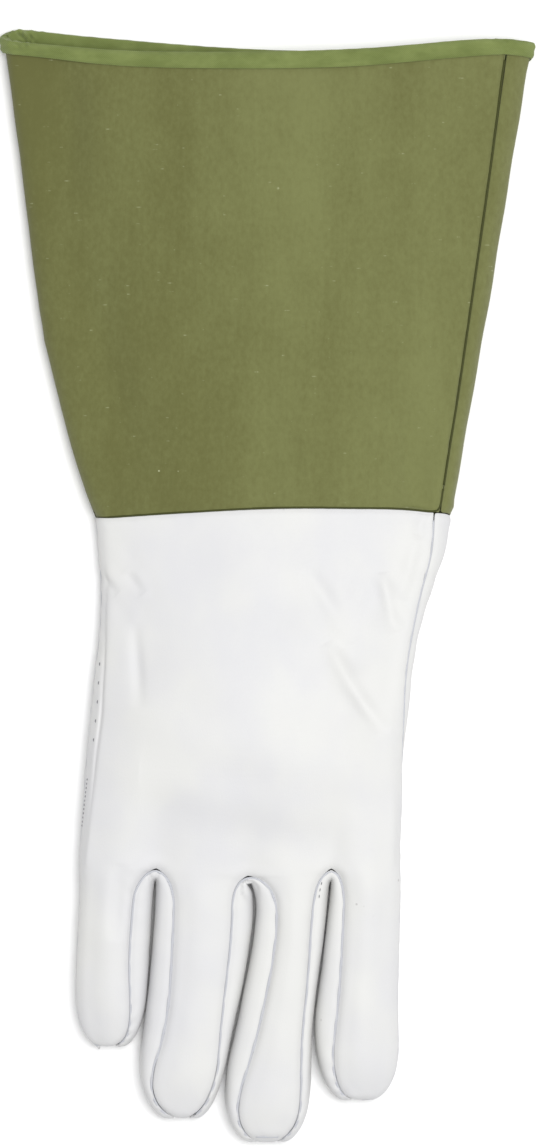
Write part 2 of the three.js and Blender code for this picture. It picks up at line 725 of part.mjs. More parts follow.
// The tape runs round the whole rim, so its sections close on themselves.
function tapeGeometry() {
  const over = cuffPlaces(true).map((place) => ({ place, backSide: true }));
  const under = cuffPlaces(false).toReversed().map((place) => ({ place, backSide: false }));
  const round = [...over, ...under].filter(({ place }) => place.seam !== 0 || place.side !== 0);
  const beforeRim = CUFF_STATIONS[CUFF_STATIONS.length - 2];
  const stops = round.map(({ place, backSide }) => {
    const point = cuffPoint(place, 1, backSide).point;
    const on = point.clone().sub(cuffPoint(place, beforeRim, backSide).point).normalize();
    return { point, on };
  });
  const sections = stops.map(({ point, on }, i) => {
    const ahead = stops[(i + 1) % stops.length].point;
    const behind = stops[(i + stops.length - 1) % stops.length].point;
    const out = on.clone().cross(ahead.clone().sub(behind)).negate().normalize();
    return tapeProfile().map((step) =>
      point.clone().addScaledVector(out, step.out).addScaledVector(on, step.on),
    );
  });
  const around = sections[0].length;
  const index = [];
  sections.forEach((_, i) => {
    const next = (i + 1) % sections.length;
    for (let j = 0; j < around; j++) {
      const [a, b] = [i * around + j, i * around + ((j + 1) % around)];
      const [c, d] = [next * around + ((j + 1) % around), next * around + j];
      index.push(a, b, c, a, c, d);
    }
  });
  return solidFrom(sections.flat(), index);
}

// Thumb: a flat pouch along its axis, closed at the tip and open through a hole into the palm.
function thumbBody(inset) {
  const length = THUMB_LENGTH - 2 * inset;
  const shares = [0.004, 0.03, 0.1, 0.2, 0.35, 0.5, 0.65, 0.78, 0.88, 0.95, 0.985, 0.998];
  const rings = shares.map((share) => {
    const centre = thumbRoot.clone().addScaledVector(thumbWay, inset + share * length);
    const half = Math.max(thumbHalf(share) - inset, 1);
    const tall = (THUMB_DEPTH / 2) * capShare(1 - share / 0.1) * capShare((share - 0.88) / 0.12) - inset;
    return thumbRing(centre, half, Math.max(tall, 0.5));
  });
  return loft(rings);
}

function thumbRing(centre, half, tall) {
  const sideways = new THREE.Vector2(-thumbWay.y, thumbWay.x);
  const round = Math.min(THUMB_DEPTH / 2, half * 0.6);
  const quarter = steps(ROLL_STEPS).map((s) => (s * Math.PI) / 2);
  const corner = (side, up) => quarter.map((angle) => [
    side * (half - round + round * Math.cos(angle)),
    up * tall * Math.sin(angle),
  ]);
  const outline = [
    ...corner(1, 1),
    ...corner(-1, 1).toReversed(),
    ...corner(-1, -1).slice(1),
    ...corner(1, -1).toReversed().slice(0, -1),
  ];
  return outline.map(([off, up]) => {
    const at = centre.clone().addScaledVector(sideways, off);
    return new THREE.Vector3(at.x, at.y, THUMB_DEPTH / 2 + up);
  });
}

// A tall oval plug over the thumb's root, which cuts the hole in the thumb and the one in the palm.
function holePlug() {
  const outline = new THREE.Shape();
  outline.absellipse(0, 0, THUMB_HOLE_WIDTH / 2, THUMB_HOLE_LENGTH / 2, 0, Math.PI * 2);
  const plug = new THREE.ExtrudeGeometry(outline, { depth: THUMB_DEPTH * 2, bevelEnabled: false, curveSegments: 10 });
  const centre = thumbRoot.clone().addScaledVector(thumbWay, THUMB_LENGTH * 0.3);
  plug.rotateZ(-degToRad(THUMB_LEAN));
  plug.translate(centre.x, centre.y, THUMB_DEPTH / 2);
  return toManifold(plug);
}

function palmGeometry() {
  const palm = toManifold(handSheet(false).thicken(LEATHER_WALL));
  return fromManifold(palm.subtract(holePlug()));
}

function thumbGeometry() {
  const pouch = toManifold(thumbBody(0)).subtract(toManifold(thumbBody(LEATHER_WALL)));
  return fromManifold(pouch.subtract(holePlug()));
}

const canvas = new THREE.MeshStandardMaterial({ color: 0x787a4e, roughness: 0.95, metalness: 0 });
const tape = new THREE.MeshStandardMaterial({ color: 0x828d59, roughness: 0.9, metalness: 0 });
const leather = new THREE.MeshStandardMaterial({ color: 0xedede9, roughness: 0.6, metalness: 0 });

function piece(name, geometry, material) {
  const mesh = new THREE.Mesh(geometry, material);
  mesh.name = name;
  return mesh;
}

const gauntlet = new THREE.Group();
gauntlet.add(
  piece("cuff_back", cuffSheet(true).thicken(CANVAS_WALL), canvas),
  piece("cuff_palm", cuffSheet(false).thicken(CANVAS_WALL), canvas),
  piece("hem_tape", tapeGeometry(), tape),
  piece("hand_back", handSheet(true).thicken(LEATHER_WALL), leather),
  piece("hand_palm", palmGeometry(), leather),
  piece("thumb", thumbGeometry(), leather),
);
CROTCHES.forEach((_, number) => {
  const name = `fourchette_${FINGERS[number].name}_${FINGERS[number + 1].name}`;
  gauntlet.add(piece(name, fourchetteSheet(number).thicken(LEATHER_WALL), leather));
});

export default gauntlet;
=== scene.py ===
"""A right-hand pruning gauntlet on a pale floor: canvas cuff, taped rim, white leather hand.

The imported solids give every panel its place. Each panel is copied and smoothed here, and then
gets the folds, puckers and seams that cloth and leather have.
"""

import logging
import math
from dataclasses import dataclass, field
from enum import Enum
from typing import Callable, Optional, Union

import bmesh
import bpy
import numpy as np
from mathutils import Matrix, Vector
from mathutils.bvhtree import BVHTree
from mathutils.kdtree import KDTree


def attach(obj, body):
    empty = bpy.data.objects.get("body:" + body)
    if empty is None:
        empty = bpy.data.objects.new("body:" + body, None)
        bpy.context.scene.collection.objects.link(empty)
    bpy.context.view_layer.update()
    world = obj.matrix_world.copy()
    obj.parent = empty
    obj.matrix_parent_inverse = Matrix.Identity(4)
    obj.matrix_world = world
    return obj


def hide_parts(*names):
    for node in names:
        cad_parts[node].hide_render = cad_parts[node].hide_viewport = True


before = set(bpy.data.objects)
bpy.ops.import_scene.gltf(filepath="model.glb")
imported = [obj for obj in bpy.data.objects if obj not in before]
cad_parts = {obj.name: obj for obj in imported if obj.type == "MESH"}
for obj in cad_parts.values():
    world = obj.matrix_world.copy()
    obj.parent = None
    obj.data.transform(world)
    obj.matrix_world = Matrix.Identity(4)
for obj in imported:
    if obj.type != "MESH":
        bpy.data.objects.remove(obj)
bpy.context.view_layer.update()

log = logging.getLogger("gauntlet")

MM = 0.001

# The photograph's frame, its scale on the glove, and where the glove's own zero lies in it
FRAME_WIDTH = 542
FRAME_HEIGHT = 1146
METRES_PER_PIXEL = 0.3627 * MM
ZERO_COLUMN = 268.0
ZERO_ROW = 586.0

# The height at which the glove's upper side ends and its under side begins
WAIST = 0.46 * 18 * MM

Linear = tuple[float, float, float]
Grain = tuple[float, float, float]
Span = tuple[float, float]
Route = tuple[tuple[float, float], ...]
Number = Union["Value", float]
Points = np.ndarray
Seamed = tuple[Vector, Vector]


def place(column: float, row: float) -> Vector:
    """Turn a place in the photograph's frame into a place on the glove, in metres."""
    across = (column - ZERO_COLUMN) * METRES_PER_PIXEL
    return Vector((across, (ZERO_ROW - row) * METRES_PER_PIXEL, 0.0))


def linear(red: int, green: int, blue: int) -> Linear:
    """Turn a screen colour of 0 to 255 into the linear values that a shader takes."""
    values = (channel / 255.0 for channel in (red, green, blue))
    return tuple(v / 12.92 if v <= 0.04045 else ((v + 0.055) / 1.055) ** 2.4 for v in values)


class Surface(Enum):
    """The finishes of the glove's pieces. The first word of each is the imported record's slot."""

    CANVAS = "canvas"
    TAPE = "tape"
    LEATHER = "leather"
    CANVAS_THREAD = "canvas_thread"
    LEATHER_THREAD = "leather_thread"
    GREY_THREAD = "leather_grey_thread"

    @property
    def slot(self) -> str:
        """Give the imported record's slot for this finish."""
        return self.value.split("_")[0]


# Shader maths


@dataclass(frozen=True)
class Value:
    """A number that changes over a surface, as the output socket of a shader node."""

    tree: "NodeTree"
    socket: bpy.types.NodeSocket

    def _math(self, operation: str, *inputs: Number) -> "Value":
        """Add one Math node."""
        return self.tree.node("ShaderNodeMath", {"operation": operation}, dict(enumerate(inputs)))

    def __add__(self, other: Number) -> "Value":
        """Add."""
        return self._math("ADD", self, other)

    __radd__ = __add__

    def __mul__(self, other: Number) -> "Value":
        """Multiply."""
        return self._math("MULTIPLY", self, other)

    __rmul__ = __mul__

    def __sub__(self, other: Number) -> "Value":
        """Subtract a value from this one."""
        return self._math("SUBTRACT", self, other)

    def __rsub__(self, other: float) -> "Value":
        """Subtract this value from a number."""
        return self._math("SUBTRACT", other, self)

    def sine(self) -> "Value":
        """Take the sine."""
        return self._math("SINE", self)

    def size(self) -> "Value":
        """Take the absolute value."""
        return self._math("ABSOLUTE", self)

    def between(self, low: float, high: float) -> "Value":
        """Ramp smoothly from 0 at the low value to 1 at the high one.

        Args:
            low: The value that gives 0.
            high: The value that gives 1.

        Returns:
            The ramped value.
        """
        inputs = {"Value": self, "From Min": low, "From Max": high}
        return self.tree.node("ShaderNodeMapRange", {"interpolation_type": "SMOOTHSTEP"}, inputs)


class NodeTree:
    """The node tree of one material, with its shader and its place coordinates."""

    def __init__(self, name: str) -> None:
        """Make the material.

        Args:
            name: The material's name.
        """
        self.material = bpy.data.materials.new(name)
        self.material.use_nodes = True
        self.nodes = self.material.node_tree.nodes
        self.links = self.material.node_tree.links
        self.shader = self.nodes["Principled BSDF"]
        self.place = self.node("ShaderNodeTexCoord", {}, {}, "Object")

    def node(
        self,
        kind: str,
        settings: dict[str, object],
        inputs: dict[Union[str, int], object],
        output: Union[str, int] = 0,
    ) -> Value:
        """Add a node of any kind.

        Args:
            kind: The node's type.
            settings: Attributes that are set first, such as a Math node's operation.
            inputs: A value or a link for each named or numbered input.
            output: The output that is wanted.

        Returns:
            The wanted output, as a value that expressions can use.
        """
        made = self.nodes.new(kind)
        for key, setting in settings.items():
            setattr(made, key, setting)
        for key, given in inputs.items():
            self.join(made.inputs[key], given)
        return Value(self, made.outputs[output])

    def join(self, socket: bpy.types.NodeSocket, given: object) -> None:
        """Link a value to a socket, or set the socket's own number or colour.

        Args:
            socket: The socket.
            given: The value, number, vector or linear colour that it gets.
        """
        if isinstance(given, Value):
            self.links.new(given.socket, socket)
        elif isinstance(given, tuple) and len(given) == 3 and socket.type == "RGBA":
            socket.default_value = (*given, 1.0)
        else:
            socket.default_value = given

    def axes(self) -> tuple[Value, Value]:
        """Give how far across the glove and how far up its length a place is, in metres."""
        across = self.node("ShaderNodeSeparateXYZ", {}, {0: self.place})
        return across, Value(self, across.socket.node.outputs[1])

    def stretched(self, grain: Grain) -> Value:
        """Give the object's coordinates, scaled along each axis."""
        inputs = {"Vector": self.place, "Scale": grain}
        return self.node("ShaderNodeMapping", {"vector_type": "POINT"}, inputs)

    def noise(self, grain: Grain, detail: float = 3.0, roughness: float = 0.5) -> Value:
        """Give smooth noise with so many grains a metre along each axis."""
        inputs = {"Vector": self.stretched(grain), "Scale": 1.0, "Detail": detail, "Roughness": roughness}
        return self.node("ShaderNodeTexNoise", {}, inputs)

    def cells(self, grain: Grain) -> Value:
        """Give the distance to the nearest of scattered points, in cells."""
        inputs = {"Vector": self.stretched(grain), "Scale": 1.0, "Randomness": 1.0}
        return self.node("ShaderNodeTexVoronoi", {}, inputs, "Distance")

    def dots(self, grain: Grain, core: float, edge: float) -> Value:
        """Give scattered dots: 1 within the core, 0 beyond the edge, both in cells."""
        return 1.0 - self.cells(grain).between(core, edge)

    def blend(self, factor: Number, first: object, second: object) -> Value:
        """Mix two colours by a factor."""
        return self.node("ShaderNodeMix", {"data_type": "RGBA"}, {0: factor, 6: first, 7: second}, 2)

    def finish(self, colour: object, roughness: object, heights: list[tuple[Value, float]]) -> None:
        """Set the shader's colour and roughness, and stack its bumps.

        Args:
            colour: The base colour, as a value or a linear colour.
            roughness: The roughness.
            heights: Each bump's height value and its distance in metres, coarse ones first.
        """
        self.join(self.shader.inputs["Base Color"], colour)
        self.join(self.shader.inputs["Roughness"], roughness)
        below = {}
        for height, distance in heights:
            inputs = {"Height": height, "Distance": distance, "Strength": 1.0, **below}
            below = {"Normal": self.node("ShaderNodeBump", {}, inputs)}
        if below:
            self.join(self.shader.inputs["Normal"], below["Normal"])

    def steady(self, levels: dict[str, float]) -> None:
        """Set inputs of the shader that stay the same all over."""
        for name, level in levels.items():
            self.shader.inputs[name].default_value = level


# Finishes


@dataclass(frozen=True)
class CanvasFinish:
    """Plain-woven cotton canvas with streaks along the warp, slubs, specks of lint and painted shade
    towards its left side.
    """

    name: str = "olive_canvas"
    light: Linear = linear(121, 125, 78)
    dark: Linear = linear(100, 101, 57)
    lint: Linear = linear(190, 194, 156)
    pitch: float = 0.62 * MM
    wander: float = 2.2
    relief: float = 0.07 * MM
    # Painted shade: across this span, in metres, the cloth goes from darker on its left side to lighter
    # on its right.
    painted_shade_span: Span = (-0.1, 0.02)
    shades: Span = (0.72, 1.52)

    def make(self) -> bpy.types.Material:
        """Build the material.

        Returns:
            The finished material.
        """
        tree = NodeTree(self.name)
        across, up = tree.axes()
        turns = math.tau / self.pitch
        warp = (across * turns + tree.noise((300.0, 60.0, 300.0)) * self.wander).sine()
        weft = (up * turns + tree.noise((60.0, 300.0, 60.0)) * self.wander).sine()
        weave = (warp * weft).size()
        streaks = tree.noise((420.0, 34.0, 60.0), 4.0, 0.6)
        mottle = tree.noise((75.0, 60.0, 75.0), 3.0, 0.55)
        fibres = tree.noise((620.0, 420.0, 620.0), 2.0, 0.6)
        # Broad tone that varies at random, plus a ramp across the cuff that paints shade onto its left
        # side.
        bands_and_painted_shade = tree.noise((30.0, 4.5, 30.0), 2.0) * 0.7 + across.between(*self.painted_shade_span) * 0.36
        shade = bands_and_painted_shade + mottle * 0.3 + streaks * 0.2 + fibres * 0.45 + weave * 0.04
        base = tree.blend(shade.between(*self.shades), self.dark, self.light)
        slubs = tree.dots((110.0, 520.0, 110.0), 0.05, 0.16) * streaks.between(0.52, 0.62)
        fuzzy = tree.blend(slubs * 0.3, base, self.lint)
        rare = tree.noise((60.0, 60.0, 60.0), 0.0).between(0.6, 0.64)
        flecks = tree.dots((88.0, 88.0, 88.0), 0.03, 0.052) * rare
        colour = tree.blend(flecks * 0.9, fuzzy, self.lint)
        tree.finish(colour, 0.92, [(streaks, self.relief), (weave, self.relief)])
        tree.steady({"Sheen Weight": 0.18, "Sheen Roughness": 0.5, "Specular IOR Level": 0.2})
        return tree.material


@dataclass(frozen=True)
class TapeFinish:
    """Cotton twill tape: slanting ribs, a little lighter and greener than the canvas."""

    name: str = "green_tape"
    light: Linear = linear(130, 142, 84)
    dark: Linear = linear(104, 116, 62)
    pitch: float = 0.7 * MM
    wander: float = 1.8
    rib_relief: float = 0.1 * MM
    patch_relief: float = 0.12 * MM

    def make(self) -> bpy.types.Material:
        """Build the material.

        Returns:
            The finished material.
        """
        tree = NodeTree(self.name)
        across, up = tree.axes()
        loose = tree.noise((240.0, 240.0, 240.0)) * self.wander
        twill = ((across + up) * (math.tau / self.pitch) + loose).sine() * 0.5 + 0.5
        patchy = tree.noise((90.0, 160.0, 90.0), 3.0, 0.6)
        shade = (patchy * 0.9 + twill * 0.25).between(0.3, 0.95)
        heights = [(patchy, self.patch_relief), (twill, self.rib_relief)]
        tree.finish(tree.blend(shade, self.dark, self.light), 0.9, heights)
        tree.steady({"Sheen Weight": 0.15, "Specular IOR Level": 0.2})
        return tree.material


@dataclass(frozen=True)
class LeatherFinish:
    """Smooth white grain leather, faintly mottled, with fine pores and a few dark specks."""

    name: str = "white_leather"
    light: Linear = linear(214, 214, 212)
    cool: Linear = linear(208, 208, 210)
    speck: Linear = linear(150, 148, 146)
    crease_relief: float = 0.035 * MM
    pore_relief: float = 0.012 * MM
    grain_relief: float = 0.01 * MM

    def make(self) -> bpy.types.Material:
        """Build the material.

        Returns:
            The finished material.
        """
        tree = NodeTree(self.name)
        cloud = tree.noise((34.0, 24.0, 34.0), 3.0)
        fine = tree.noise((900.0, 900.0, 900.0), 3.0, 0.6)
        pores = tree.cells((1100.0, 1000.0, 1100.0)).between(0.05, 0.45)
        creased = tree.noise((160.0, 420.0, 300.0), 4.0, 0.65)
        rare = tree.noise((24.0, 24.0, 24.0), 0.0).between(0.62, 0.68)
        specks = tree.dots((120.0, 120.0, 120.0), 0.035, 0.07) * rare
        base = tree.blend(cloud.between(0.3, 0.7), self.cool, self.light)
        heights = [(creased, self.crease_relief), (pores, self.pore_relief), (fine, self.grain_relief)]
        tree.finish(tree.blend(specks * 0.5, base, self.speck), 0.5 + fine * 0.16, heights)
        tree.steady({"Specular IOR Level": 0.35})
        return tree.material


@dataclass(frozen=True)
class ThreadFinish:
    """Twisted sewing thread."""

    name: str
    colour: Linear
    twist: float = 2600.0
    relief: float = 0.05 * MM

    def make(self) -> bpy.types.Material:
        """Build the material.

        Returns:
            The finished material.
        """
        tree = NodeTree(self.name)
        across, up = tree.axes()
        ply = ((across + up) * (0.5 * math.tau * self.twist)).sine()
        dimmer = tuple(0.8 * channel for channel in self.colour)
        tree.finish(tree.blend(ply * 0.5 + 0.5, dimmer, self.colour), 0.7, [(ply, self.relief)])
        return tree.material


# Folds and puckers


@dataclass(frozen=True)
class Crease:
    """A soft valley pressed into a panel along a bent line.

    Attributes:
        run: The places in the photograph's frame that the crease runs through.
        width: Half its width, in metres.
        depth: How deep it is, in metres; a negative depth is a ridge.
    """

    run: Route
    width: float
    depth: float

    def away(self, points: Points) -> tuple[Points, Points]:
        """Measure from the crease, seen from above.

        Args:
            points: Places on the panel, one row each.

        Returns:
            The distance of each from the crease, and its share of the crease's run.
        """
        line = [place(*stop) for stop in self.run]
        best = np.full(len(points), np.inf)
        share = np.zeros(len(points))
        for number, (start, end) in enumerate(zip(line, line[1:])):
            a, way = np.array(start[:2]), np.array((end - start)[:2])
            t = np.clip(((points[:, :2] - a) @ way) / (way @ way), 0.0, 1.0)
            away = np.linalg.norm(points[:, :2] - a - t[:, None] * way, axis=1)
            nearer = away < best
            best[nearer] = away[nearer]
            share[nearer] = (number + t[nearer]) / (len(line) - 1)
        return best, share

    def height(self, points: Points) -> Points:
        """Give how far each point is raised.

        Args:
            points: Places on the panel, one row each.

        Returns:
            The rise of each, in metres.
        """
        best, share = self.away(points)
        fade = np.sin(np.pi * np.clip(share, 0.0, 1.0)) ** 0.7
        return -self.depth * np.exp(-((best / self.width) ** 2)) * fade


def waves(points: Points, pitch: float, seed: float) -> Points:
    """Give a smooth irregular field from a few crossed waves.

    Args:
        points: Places on the panel, one row each.
        pitch: The length of the main wave, in metres.
        seed: A number that shifts the pattern.

    Returns:
        A value from about -1 to 1 for each point.
    """
    total = np.zeros(len(points))
    for number in range(5):
        turn = seed + 2.4 * number
        way = np.array([math.cos(turn), math.sin(turn), 0.7 * math.sin(turn * 1.7)])
        length = pitch * (0.7 + 0.23 * number)
        total += np.sin(points @ way * math.tau / length + 1.9 * turn) / (1.6 + 0.3 * number)
    return total / 1.7


@dataclass(frozen=True)
class Crumple:
    """A patch of a panel that has been squeezed into small folds.

    Attributes:
        middle: Its place in the photograph's frame.
        radius: How far it reaches, in metres.
        rise: The height of its folds, in metres.
        pitch: The length of its folds, in metres.
    """

    middle: tuple[float, float]
    radius: float
    rise: float
    pitch: float

    def height(self, points: Points) -> Points:
        """Give how far each point is raised, in metres."""
        away = np.linalg.norm(points[:, :2] - np.array(place(*self.middle)[:2]), axis=1)
        return self.rise * waves(points, self.pitch, seed=0.7) * np.exp(-((away / self.radius) ** 4))


@dataclass(frozen=True)
class SeamRoll:
    """How a panel behaves beside its seams: drawn down at the edge, full behind it, puckered along it.

    Attributes:
        sink: How far the edge is drawn down, in metres.
        swell: How far the panel rises behind it.
        back: How far behind the edge it is fullest.
        pucker: The height of the puckers.
        pitch: Their length.
    """

    sink: float = 0.3 * MM
    swell: float = 0.25 * MM
    back: float = 3.0 * MM
    pucker: float = 0.12 * MM
    pitch: float = 5.5 * MM

    def height(self, points: Points, away: Points) -> Points:
        """Give how far each point is raised.

        Args:
            points: Places on the panel, one row each.
            away: The distance of each from the nearest seam, in metres.

        Returns:
            The rise of each, in metres.
        """
        sunk = -self.sink * np.exp(-((away / (0.3 * self.back)) ** 2))
        full = self.swell * np.exp(-(((away - self.back) / (0.6 * self.back)) ** 2))
        fade = np.exp(-((away / (1.6 * self.back)) ** 2))
        drawn = self.pucker * waves(points, self.pitch, seed=0.6) * fade
        return sunk + full + drawn


# How the glove lies


@dataclass(frozen=True)
class Nudge:
    """A soft push on one spot of the glove's upper side, in pixels of the photograph's frame.

    Attributes:
        column: The column of the spot.
        row: Its row.
        right: How far it is pushed to the right.
        down: How far it is pushed towards the finger tips.
        reach: How far from the spot the push fades.
    """

    column: float
    row: float
    right: float
    down: float
    reach: float


@dataclass(frozen=True)
class Lie:
    """How the soft rim, wrist and finger gaps lie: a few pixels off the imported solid, place by place.

    Attributes:
        columns: The photograph's columns at which the lie is given.
        spread: The columns on either side over which it is averaged.
        front_top: The rise of the tape's upper edge over the opening, in pixels.
        front_low: The rise of the tape's lower edge there.
        rear: The rise of the rim on the floor's side.
        wrist: The rise of the wrist's edge.
        upper: Where the tape's upper edge is along the glove, in metres.
        lower: Where its lower edge is.
        still: Where the rise has faded out.
        wrist_height: Where the wrist's edge is.
        wrist_reach: How far from it the wrist's rise fades.
        under: The height below which places are on the floor's side, in metres.
        side: The height of the sides above that, over which the rise blends.
        nudges: The pushes on single spots; these round the top of the ring and middle fingers' gap.
    """

    columns: tuple[float, ...] = (0, 30, 60, 100, 150, 200, 270, 350, 400, 430, 460, 490, 515, 542)
    spread: tuple[float, ...] = (-12, -4, 4, 12)
    front_top: tuple[float, ...] = (4, 4, 2, -1, -1.5, -1, 0, 2, 4, 6, 8, 9, 6, 5)
    front_low: tuple[float, ...] = (9, 9, 6, 2, 1, 1, 1, 2, 5, 7, 8, 10, 9, 7)
    rear: tuple[float, ...] = (4, 5, 4, 5, 5, 4, 3, 3, 4, 5, 6, 7, 5, 4)
    wrist: tuple[float, ...] = (0, 0, 0, -1, -2, -2, 0, 2, 5, 5, 2, 0, 0, 0)
    upper: float = 195.3 * MM
    lower: float = 188.6 * MM
    still: float = 95 * MM
    wrist_height: float = 27 * MM
    wrist_reach: float = 22 * MM
    under: float = 3 * MM
    side: float = 6 * MM
    nudges: tuple[Nudge, ...] = (Nudge(236, 876, 4.5, 4.5, 12), Nudge(262, 874, -1, 2.5, 8))

    def moved(self, points: Points) -> Points:
        """Give where the places move to.

        Args:
            points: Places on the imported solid, one row each.

        Returns:
            The same places as they lie in the photograph.
        """
        column = points[:, 0] / METRES_PER_PIXEL + ZERO_COLUMN
        along = points[:, 1]
        top, low, rear, wrist = (
            np.mean([np.interp(column + step, self.columns, rises) for step in self.spread], axis=0)
            for rises in (self.front_top, self.front_low, self.rear, self.wrist)
        )
        share = np.clip((along - self.lower) / (self.upper - self.lower), 0.0, 1.0)
        front = np.clip((points[:, 2] - self.under) / self.side, 0.0, 1.0)
        fade = np.clip((along - self.still) / (self.lower - self.still), 0.0, 1.0) ** 1.5
        rise = (front * (low + (top - low) * share) + (1.0 - front) * rear) * fade
        rise += wrist * np.exp(-(((along - self.wrist_height) / self.wrist_reach) ** 2)) * front
        moved = points.copy()
        moved[:, 1] += rise * METRES_PER_PIXEL
        for nudge in self.nudges:
            spot = np.array(place(nudge.column, nudge.row)[:2])
            away = np.linalg.norm(points[:, :2] - spot, axis=1) / (nudge.reach * METRES_PER_PIXEL)
            push = front * np.exp(-(away**2)) * METRES_PER_PIXEL
            moved[:, 0] += nudge.right * push
            moved[:, 1] -= nudge.down * push
        return moved


# Lines and edges


def read_points(mesh: bpy.types.Mesh, wanted: str = "co") -> Points:
    """Read a mesh's points or their normals.

    Args:
        mesh: The mesh.
        wanted: The name of what is read: co or normal.

    Returns:
        The points or normals, one row each.
    """
    flat = np.empty(len(mesh.vertices) * 3, dtype=np.float32)
    mesh.vertices.foreach_get(wanted, flat)
    return flat.reshape(-1, 3).astype(float)


def write_points(mesh: bpy.types.Mesh, points: Points) -> None:
    """Move a mesh's points to new places, one row each."""
    mesh.vertices.foreach_set("co", points.astype(np.float32).ravel())
    mesh.update()


def tree_of(stops: list[Vector]) -> KDTree:
    """Sort points so that the nearest of them to a place can be found.

    Args:
        stops: The points.

    Returns:
        The sorted points.
    """
    tree = KDTree(len(stops))
    for number, stop in enumerate(stops):
        tree.insert(stop, number)
    tree.balance()
    return tree


def resampled(line: list[Vector], step: float) -> list[Vector]:
    """Space points evenly along a line.

    Args:
        line: The line's points.
        step: The wanted distance between points, in metres.

    Returns:
        The new points, the line's first one among them.
    """
    points = [line[0].copy()]
    left = step
    for start, end in zip(line, line[1:]):
        length = (end - start).length
        done = 0.0
        while length - done >= left:
            done += left
            points.append(start.lerp(end, done / length))
            left = step
        left -= length - done
    return points


def eased(line: list[Vector], rounds: int = 10) -> list[Vector]:
    """Round off a line's corners.

    Args:
        line: The line's points, evenly spaced.
        rounds: How many times each point moves towards its neighbours.

    Returns:
        The rounded line, with its ends where they were.
    """
    for _ in range(rounds):
        inner = [(a + b * 2.0 + c) / 4.0 for a, b, c in zip(line, line[1:], line[2:])]
        line = [line[0], *inner, line[-1]]
    return line


def distances(points: Points, lines: list[list[Vector]], step: float = 0.4 * MM) -> Points:
    """Give each point's distance to the nearest of some lines, in metres.

    Args:
        points: The points, one row each.
        lines: The lines' points.
        step: How finely the lines are divided.

    Returns:
        The distances, all large where there is no line.
    """
    stops = [stop for line in lines for stop in resampled(line, step)]
    if not stops:
        return np.full(len(points), 1.0)
    tree = tree_of(stops)
    return np.array([tree.find(point)[2] for point in points])


def skins(work: bmesh.types.BMesh, sharp: float) -> list[set[bmesh.types.BMFace]]:
    """Divide a panel's faces at its sharp edges.

    Args:
        work: The panel's mesh.
        sharp: The least angle of a sharp edge.

    Returns:
        The connected groups of faces, the largest in area first.
    """
    left = set(work.faces)
    groups = []
    while left:
        group = {left.pop()}
        open_faces = list(group)
        while open_faces:
            for edge in open_faces.pop().edges:
                if edge.calc_face_angle(0.0) < sharp:
                    for face in edge.link_faces:
                        if face in left:
                            left.discard(face)
                            group.add(face)
                            open_faces.append(face)
        groups.append(group)
    return sorted(groups, key=lambda faces: -sum(face.calc_area() for face in faces))


def cut_edges(work: bmesh.types.BMesh, outer: set[bmesh.types.BMFace]) -> list[list[Seamed]]:
    """Follow the edges where a panel's outer skin ends.

    Args:
        work: The panel's mesh.
        outer: The faces of its outer skin.

    Returns:
        Each edge loop's corners in order, the longest loop first, and the inner skin's corner below each.
    """
    below = tree_of([v.co for v in work.verts if not any(face in outer for face in v.link_faces)])
    rim = [e for e in work.edges if sum(face in outer for face in e.link_faces) == 1]
    left = set(rim)
    loops = []
    for first in rim:
        if first not in left:
            continue
        left.discard(first)
        chain = list(first.verts)
        while True:
            step = next((e for e in chain[-1].link_edges if e in left), None)
            if step is None:
                break
            left.discard(step)
            chain.append(step.other_vert(chain[-1]))
        loops.append([(vertex.co.copy(), Vector(below.find(vertex.co)[0])) for vertex in chain])
    return sorted(loops, key=len, reverse=True)


# Panels


